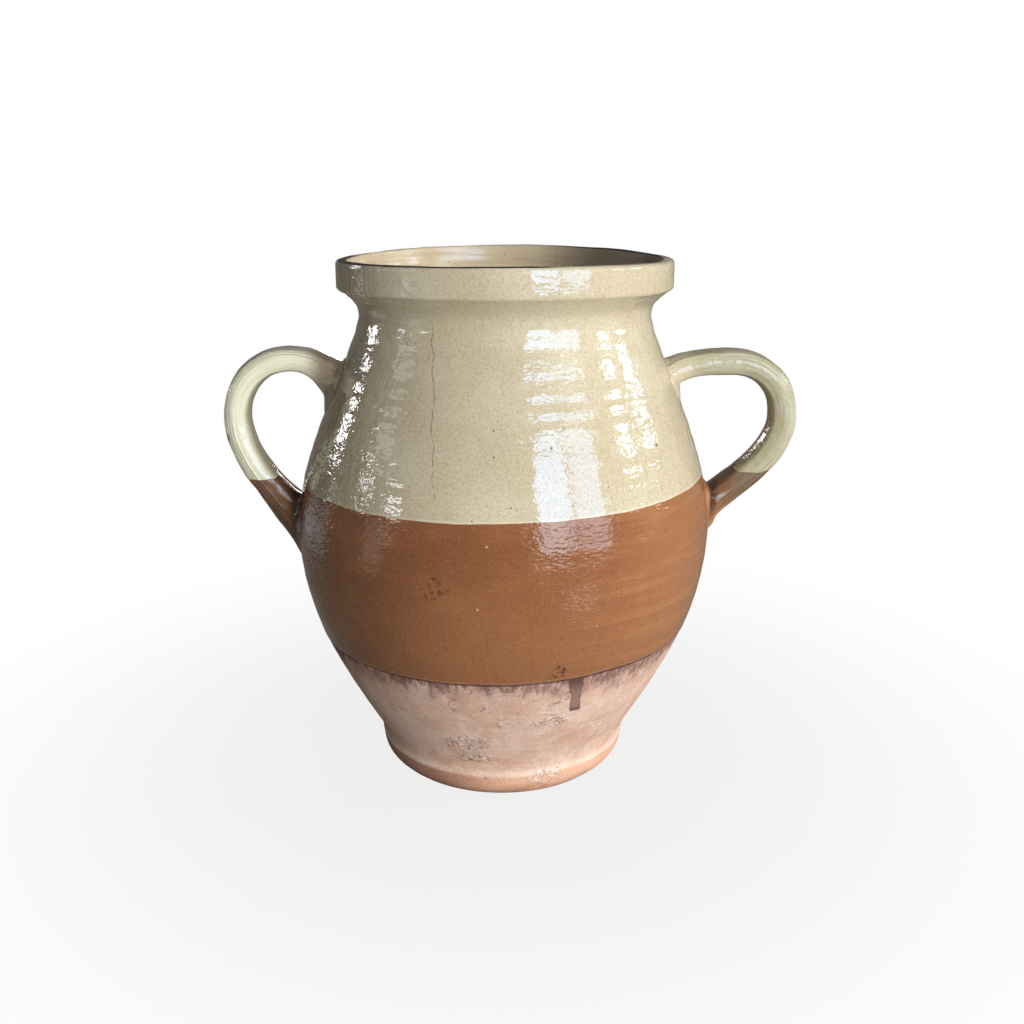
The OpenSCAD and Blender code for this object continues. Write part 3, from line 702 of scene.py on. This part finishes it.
# Painted shade: the brown end's inner face is laid dark away from the wall.
colour = laid(fade(inner, 8.5, 3.5) * off_wall * 0.6, colour, (0.085, 0.048, 0.03, 1))
# Painted shade in the crease where the strap's inner side meets the wall, with glaze pooled dark
# there too.
crease = fade(out, 123.5, 118.0) * fade(inner, 21.0, 11.0) * fade(out, 115.4, 116.8)
colour = laid(crease * 0.92, colour, (0.045, 0.021, 0.015, 1))
colour = laid(fade(fine, 0.55, 0.76) * 0.35, colour, (0.45, 0.25, 0.14, 1))
sway = across + (clouds - 0.5) * 2.4
streak = fade(abs(sway - 0.4), 0.9, 0.1) * fade(x, -60.0, -90.0)
skinned(shader, colour, drawn * 0.12 + fine * 0.03 + streak * 0.42, clouds * 0.1 + 0.05)


def wall_at(z):
    """Outside radius of the bare wall at height z."""
    for (ra, za), (rb, zb) in zip(outside, outside[1:]):
        if za <= z < zb:
            return ra + (rb - ra) * (z - za) / (zb - za)


def up_wall(z):
    """Direction up the bare wall at height z, as outward and up."""
    out = (wall_at(z + 0.001) - wall_at(z - 0.001)) / 0.002
    return out / math.hypot(out, 1), 1 / math.hypot(out, 1)


def turn(angle, about):
    """The selected points turned about the Y direction through a point."""
    bpy.ops.transform.rotate(value=-angle, orient_axis="Y", center_override=about)


def strap_path(root_z, root_h, rise_angle, top_out, top_up, apex_out, apex_down, drop,
               thick, low_thick, tail_z, tail_h, slope, run,
               root_dip, root_smear, tail_rise, tail_smear):
    """Rings of a pulled strap from root to tail: middle, lean, half thickness and half width."""
    root, tail = (wall_at(root_z), root_z), (wall_at(tail_z), tail_z)
    top, apex = (root[0] + top_out, root_z + top_up), (apex_out, root_z - apex_down)
    leaving = (root[0] + 0.35 * top_out * math.cos(rise_angle),
               root_z + 0.35 * top_out * math.sin(rise_angle))
    coming = (tail[0] + run * math.sin(slope), tail[1] + run * math.cos(slope))
    runs = (
        (root, leaving, (top[0] - 0.45 * top_out, top[1]), top),
        (top, (top[0] + 0.58 * (apex[0] - top[0]), top[1]),
         (apex[0], apex[1] + 0.56 * (top[1] - apex[1])), apex),
        (apex, (apex[0], apex[1] - drop), coming, tail))
    fine_runs = [bend(*run, 1000) + [run[3]] for run in runs]
    rings = []
    for u in ([0.0, 0.07, 0.15, 0.26, 0.39, 0.53, 0.68, 0.84] + [1 + i / 9 for i in range(9)]
              + [2 + i / 14 for i in range(13)] + [2.95, 3.0]):
        part = min(int(u), 2)
        step = round((u - part) * 1000)
        here = fine_runs[part][step]
        before, after = fine_runs[part][max(step - 2, 0)], fine_runs[part][min(step + 2, 1000)]
        length = math.hypot(after[0] - before[0], after[1] - before[1])
        outer = ((before[1] - after[1]) / length, (after[0] - before[0]) / length)
        at_root, at_tail = max(0, 1 - u) ** 2.6, max(0, u - 2) ** 7
        outer = [o * (1 - at_root - at_tail) + at_root * p - at_tail * q
                 for o, p, q in zip(outer, up_wall(root_z), up_wall(tail_z))]
        own = (thick + (low_thick - thick) * max(0, u - 1) / 2) / 2
        half = own + at_root * (root_h / 2 - own) + at_tail * (tail_h / 2 - own)
        wide = (strap_w + (at_root + at_tail) * (root_w - strap_w)) / 2
        wide += 0.002 * max(0, 1 - u / 0.22) ** 2 + 0.001 * max(0, (u - 2.8) / 0.2) ** 2
        rings.append((here, math.atan2(*outer), half, wide))
    for end, rise, smear in ((0, -root_dip, root_smear), (-1, tail_rise, tail_smear)):
        (out, up), tilt, half, wide = rings.pop(end)
        pressed = [((out + press_out, up + share * rise), tilt,
                    half + share * smear, wide + share * press_splay) for share in (0.4, 0.75, 1.0)]
        rings = pressed[::-1] + rings if end == 0 else rings + pressed
    return rings


def strap(name, side, rings, laps):
    """A pulled strap along its rings: one closed skin, its ends let into the wall's coats."""
    bpy.ops.object.select_all(action="DESELECT")
    bpy.ops.mesh.primitive_plane_add(size=2)
    piece = bpy.context.object
    piece.name = piece.data.name = name
    bpy.ops.object.mode_set(mode="EDIT")
    bpy.ops.mesh.delete(type="ONLY_FACE")
    bpy.ops.mesh.select_all(action="SELECT")
    bpy.ops.mesh.subdivide(number_cuts=11)
    bpy.ops.transform.tosphere(value=0.72)
    bpy.ops.transform.rotate(value=math.pi / 2, orient_axis="Y", center_override=(0, 0, 0))
    bpy.ops.object.mode_set(mode="OBJECT")
    round_section = [math.degrees(math.atan2(v.co.z, -v.co.y)) for v in piece.data.vertices]
    sides = len(round_section)
    reach = max(v.co.z for v in piece.data.vertices)
    pick(piece, lambda p: any(abs(math.degrees(math.atan2(p.z, -p.y)) - line) < 4
                              for line in strap_lines))
    bpy.ops.transform.resize(value=(1, 0.965, 0.945), center_override=(0, 0, 0))
    pick(piece, lambda p: p.z > 0.8 * reach)
    bpy.ops.transform.resize(value=(1, 1, 0.965), center_override=(0, 0, 0))
    bpy.ops.mesh.select_all(action="SELECT")
    bpy.ops.transform.resize(value=(1, 1.02 / reach, 1.05 / reach), center_override=(0, 0, 0))
    old_centre, old_tilt, old_half, old_wide, gone, lengths = (0, 0, 0), 0.0, 1.0, 1.0, 0.0, []
    for i, ((out, up), tilt, half, wide) in enumerate(rings):
        centre = (out, 0, up)
        move = tuple(c - o for c, o in zip(centre, old_centre))
        if i == 0:
            bpy.ops.transform.translate(value=move)
        else:
            bpy.ops.mesh.extrude_region_move(TRANSFORM_OT_translate={"value": move})
            gone += math.hypot(*move)
        turn(-old_tilt, centre)
        bpy.ops.transform.resize(value=(1, wide / old_wide, half / old_half),
                                 center_override=centre)
        turn(tilt, centre)
        lengths.append(gone)
        old_centre, old_tilt, old_half, old_wide = centre, tilt, half, wide
    bpy.ops.mesh.select_all(action="SELECT")
    if side < 0:
        bpy.ops.transform.resize(value=(-1, 1, 1), center_override=(0, 0, 0))
    bpy.ops.mesh.normals_make_consistent(inside=False)
    bpy.ops.object.mode_set(mode="OBJECT")
    skin = piece.data.uv_layers.new(name="skin")
    for face in piece.data.polygons:
        angles = [round_section[v % sides] for v in face.vertices]
        if max(angles) - min(angles) > 180:
            angles = [a + 360 if a < 0 else a for a in angles]
        for loop, vertex, angle in zip(face.loop_indices, face.vertices, angles):
            skin.data[loop].uv = (angle / 360 * strap_girth, lengths[vertex // sides])
    last = len(rings) - 1
    for group, ring, coat, depth in (("sunk", 0, cream_coat, -0.0004),
                                     ("smeared", 1, cream_coat, 0.0002),
                                     ("lapped", 2, cream_coat, laps[0]),
                                     ("low_sunk", last, brown_coat, -0.0006),
                                     ("low_smeared", last - 1, brown_coat, 0.0002),
                                     ("low_lapped", last - 2, brown_coat, laps[1])):
        members = piece.vertex_groups.new(name=group)
        members.add(list(range(sides * ring, sides * ring + sides)), 1.0, "REPLACE")
        finish_with(piece, group, "SHRINKWRAP", target=coat, wrap_method="PROJECT",
                    use_project_x=True,
                    use_negative_direction=side > 0, use_positive_direction=side < 0,
                    vertex_group=group, offset=depth)
    bpy.ops.object.mode_set(mode="EDIT")
    bpy.ops.mesh.select_mode(type="EDGE")
    bpy.ops.mesh.select_all(action="DESELECT")
    bpy.ops.mesh.select_non_manifold()
    bpy.ops.mesh.edge_face_add()
    bpy.ops.mesh.select_all(action="SELECT")
    bpy.ops.mesh.normals_make_consistent(inside=False)
    bpy.ops.object.mode_set(mode="OBJECT")
    finish_with(piece, "soften", "SUBSURF", levels=2, render_levels=2)
    finish_with(piece, "dents", "DISPLACE", texture=hand_dents, texture_coords="LOCAL",
                direction="NORMAL", strength=0.0009, mid_level=0.5)
    return piece


def dipped(piece, name, above):
    """One end of a strap, cut off along the cream glaze's edge."""
    bpy.ops.object.select_all(action="DESELECT")
    piece.select_set(True)
    bpy.context.view_layer.objects.active = piece
    bpy.ops.object.duplicate()
    part = bpy.context.object
    part.name = part.data.name = name
    swayed(part, strap_sway)
    pick(part, lambda p: True)
    bpy.ops.mesh.bisect(plane_co=(0, 0, cream_line),
                        plane_no=(-math.sin(cream_tilt), -0.24, math.cos(cream_tilt)),
                        use_fill=True, clear_inner=above, clear_outer=not above)
    bpy.ops.object.mode_set(mode="OBJECT")
    swayed(part, -strap_sway)
    return part


for word, side, laps, sizes in (
        ("left", -1, (0.0013, 0.0010), {
            "root_z": 0.2215, "root_h": 0.0225, "rise_angle": math.radians(45),
            "top_out": 0.025, "top_up": 0.0124, "apex_out": 0.14945, "apex_down": 0.020,
            "drop": 0.023, "thick": 0.0130, "low_thick": 0.0152,
            "tail_z": 0.1397, "tail_h": 0.0306, "slope": math.radians(38), "run": 0.0275,
            "root_dip": 0.0022, "root_smear": 0.0064, "tail_rise": 0.0, "tail_smear": 0.0045}),
        ("right", 1, (0.0017, 0.0030), {
            "root_z": 0.2260, "root_h": 0.0138, "rise_angle": math.radians(24),
            "top_out": 0.0352, "top_up": 0.0061, "apex_out": 0.1561, "apex_down": 0.0235,
            "drop": 0.0235, "thick": 0.0136, "low_thick": 0.0152,
            "tail_z": 0.1505, "tail_h": 0.0165, "slope": math.radians(51), "run": 0.024,
            "root_dip": 0.0040, "root_smear": 0.0056, "tail_rise": 0.0005, "tail_smear": 0.0075})):
    whole = strap(word + "_strap", side, strap_path(**sizes), laps)
    for name, above, coat, nodes, slot in (
            (word + "_strap_cream", True, strap_cream,
             (word + "_handle", word + "_handle_cream_glaze"), "cream"),
            (word + "_strap_brown", False, strap_brown, (word + "_handle_brown_glaze",), "brown")):
        part = dipped(whole, name, above)
        if above:
            pick(part, lambda p: True)
            bpy.ops.transform.shrink_fatten(value=cream_over_brown)
            bpy.ops.object.mode_set(mode="OBJECT")
        shaded(part, 60)
        part.data.materials.append(coat)
        if above:
            part.data.materials.append(cream_glaze)
            for face in part.data.polygons:
                face.material_index = int(abs(face.center.x) < on_wall)
        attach(part, "root")
        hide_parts(*nodes)
    bpy.data.objects.remove(whole)
bpy.data.objects.remove(lean)

# The table is a plain white sheet that keeps the pot's soft shadow, and fades to white behind it.
bpy.ops.object.select_all(action="DESELECT")
bpy.ops.mesh.primitive_plane_add(size=8)
table = bpy.context.object
table.name = "table"
white_sheet = bpy.data.materials.new("white_sheet")
white_sheet.use_nodes = True
tree = white_sheet.node_tree
sheet = tree.nodes["Principled BSDF"]
sheet.inputs["Base Color"].default_value = (0.25, 0.24, 0.22, 1)
sheet.inputs["Roughness"].default_value = 0.9
sheet.inputs["Specular IOR Level"].default_value = 0.1


def seen_rays(tree):
    """1 for the rays that show a thing itself: the camera's, and those mirrored or let through."""
    rays = put(tree, "LightPath").outputs
    camera, mirrored, through = (Level(rays["Is " + kind + " Ray"])
                                 for kind in ("Camera", "Glossy", "Transmission"))
    return most(camera, most(mirrored, through))


far = got(tree, "VectorMath", {0: got(tree, "TexCoord", output="Object")}, "Value",
          operation="LENGTH")
open_white = got(tree, "MapRange", {"Value": far, "From Min": 0.08, "From Max": 0.42,
                                    "To Min": 0.84, "To Max": 1.0}, interpolation_type="SMOOTHSTEP")
glow = got(tree, "Emission", {"Color": (1, 1, 1, 1), "Strength": 1.0})
mixed = got(tree, "MixShader", {0: seen_rays(tree) * open_white, 1: Level(sheet.outputs[0]),
                                2: glow})
tree.links.new(mixed.socket, tree.nodes["Material Output"].inputs["Surface"])
table.data.materials.append(white_sheet)

# A grey card stands round and under the pot as the dim room did: only the glaze's reflections see
# it, so that the colours keep their depth beside the bright windows.
bpy.ops.object.select_all(action="DESELECT")
bpy.ops.mesh.primitive_cylinder_add(vertices=64, radius=2.6, depth=4.0, location=(0, 0, 2.0004))
card = bpy.context.object
card.name = "grey_card"
bpy.ops.object.transform_apply(location=True)
pick(card, lambda p: p.z > 3)
bpy.ops.mesh.delete(type="ONLY_FACE")
bpy.ops.object.mode_set(mode="OBJECT")


def glowing(piece, paint, colour, strength):
    """Makes a thing glow evenly, and lets only reflections see it."""
    made = bpy.data.materials.new(paint)
    made.use_nodes = True
    tree = made.node_tree
    tree.nodes.remove(tree.nodes["Principled BSDF"])
    glow = got(tree, "Emission", {"Color": colour, "Strength": strength})
    tree.links.new(glow.socket, tree.nodes["Material Output"].inputs["Surface"])
    piece.data.materials.append(made)
    piece.visible_camera = piece.visible_diffuse = False
    piece.visible_transmission = piece.visible_shadow = False


glowing(card, "card_paper", (0.20, 0.18, 0.155, 1), 1.0)

# The room: soft lamps light the pot from the window at the right, from the far right, from the
# camera's side and from behind. The glaze mirrors the window's two panes and the smaller lights of
# the room, and a few small panes close to the pot, each for one sheen or glint.
pot_middle_z = 0.17


def turned_to_pot(stand, azimuth, elevation, distance):
    """Turns a lamp or a pane to the pot; azimuth runs to the right as seen from the front."""
    a, e = math.radians(azimuth), math.radians(elevation)
    stand.location = (distance * math.sin(a) * math.cos(e), -distance * math.cos(a) * math.cos(e),
                      pot_middle_z + distance * math.sin(e))
    stand.rotation_euler = (math.pi / 2 - e, 0, a)


for name, azimuth, elevation, distance, wide, high, radiance, tint in (
        ("window_light", 28, 10, 1.2, 0.74, 0.90, 8.0, (1.0, 1.0, 1.0)),
        ("far_light", 87, 22, 1.4, 0.60, 0.50, 10.0, (1.0, 0.98, 0.95)),
        ("front_light", 0, 14, 1.3, 0.60, 0.60, 1.0, (1.0, 1.0, 1.0)),
        ("back_light", 180, 11, 1.4, 0.80, 0.60, 7.0, (1.0, 1.0, 1.0))):
    lamp = bpy.data.lights.new(name, "AREA")
    lamp.shape, lamp.size, lamp.size_y = "RECTANGLE", wide, high
    lamp.energy = radiance * math.pi * wide * high
    lamp.color = tint
    stand = bpy.data.objects.new(name, lamp)
    bpy.context.collection.objects.link(stand)
    turned_to_pot(stand, azimuth, elevation, distance)
    stand.visible_camera = stand.visible_glossy = False

for name, azimuth, elevation, distance, wide, high, radiance in (
        ("window_left_pane", 26, 14.5, 1.2, 0.36, 0.68, (3.1, 5.1, 8.4)),
        ("window_right_pane", 46.5, 14.5, 1.2, 0.39, 0.68, (2.3, 3.7, 6.0)),
        ("far_left_pane", 79, 20, 1.4, 0.20, 0.20, (7.5, 8.8, 10.0)),
        ("far_right_pane", 97, 19, 1.4, 0.24, 0.20, (7.5, 8.8, 10.0)),
        ("left_pane", -82, 11.5, 1.4, 0.14, 0.09, (9.5, 10.0, 10.5)),
        ("left_side_pane", -62, 11.5, 1.4, 0.22, 0.09, (8.0, 8.4, 9.0)),
        ("left_glow", -77, 23, 1.4, 0.26, 0.24, (1.6, 1.65, 1.7)),
        ("left_mid_pane", -65, -0.5, 1.4, 0.11, 0.09, (2.4, 2.4, 2.6)),
        ("back_mid_pane", -106, 0, 1.3, 0.12, 0.09, (2.0, 2.0, 2.2)),
        ("back_pane", -114, 11, 1.3, 0.20, 0.17, (12.0, 12.0, 12.0)),
        ("back_high_pane", -126, 28, 1.3, 0.14, 0.14, (10.0, 10.0, 10.0)),
        ("back_low_pane", -115, -12.4, 0.56, 0.26, 0.11, (0.62, 0.64, 0.72)),
        ("left_low_pane", -64.6, -6.4, 0.418, 0.06, 0.15, (0.6, 0.68, 0.85)),
        ("table_glint", 34.9, -23.2, 0.365, 0.09, 0.013, (3.2, 4.0, 5.5)),
        ("strap_glint", -167, 15.7, 0.325, 0.13, 0.068, (14.0, 14.0, 14.0))):
    bpy.ops.object.select_all(action="DESELECT")
    bpy.ops.mesh.primitive_plane_add(size=1)
    stand = bpy.context.object
    stand.name = name
    stand.scale = (wide, high, 1)
    turned_to_pot(stand, azimuth, elevation, distance)
    bpy.ops.object.transform_apply(location=True, rotation=True, scale=True)
    brightest = max(radiance)
    glowing(stand, name, tuple(v / brightest for v in radiance) + (1,), brightest)

world = bpy.data.worlds.new("studio")
bpy.context.scene.world = world
world.use_nodes = True
tree = world.node_tree
strength = got(tree, "Mix", {0: seen_rays(tree), 2: 0.10, 3: 1.0}, data_type="FLOAT")
tree.links.new(strength.socket, tree.nodes["Background"].inputs["Strength"])
tree.nodes["Background"].inputs["Color"].default_value = (1, 1, 1, 1)

camera = bpy.data.cameras.new("camera")
camera.lens, camera.sensor_width = 40.11, 36
eye = bpy.data.objects.new("camera", camera)
bpy.context.collection.objects.link(eye)
eye.location = (0, -0.630, 0.33167)
eye.rotation_euler = (math.radians(90 - 16.52), 0, math.radians(-0.39))
bpy.context.scene.camera = eye
bpy.context.scene.view_settings.view_transform = "Standard"
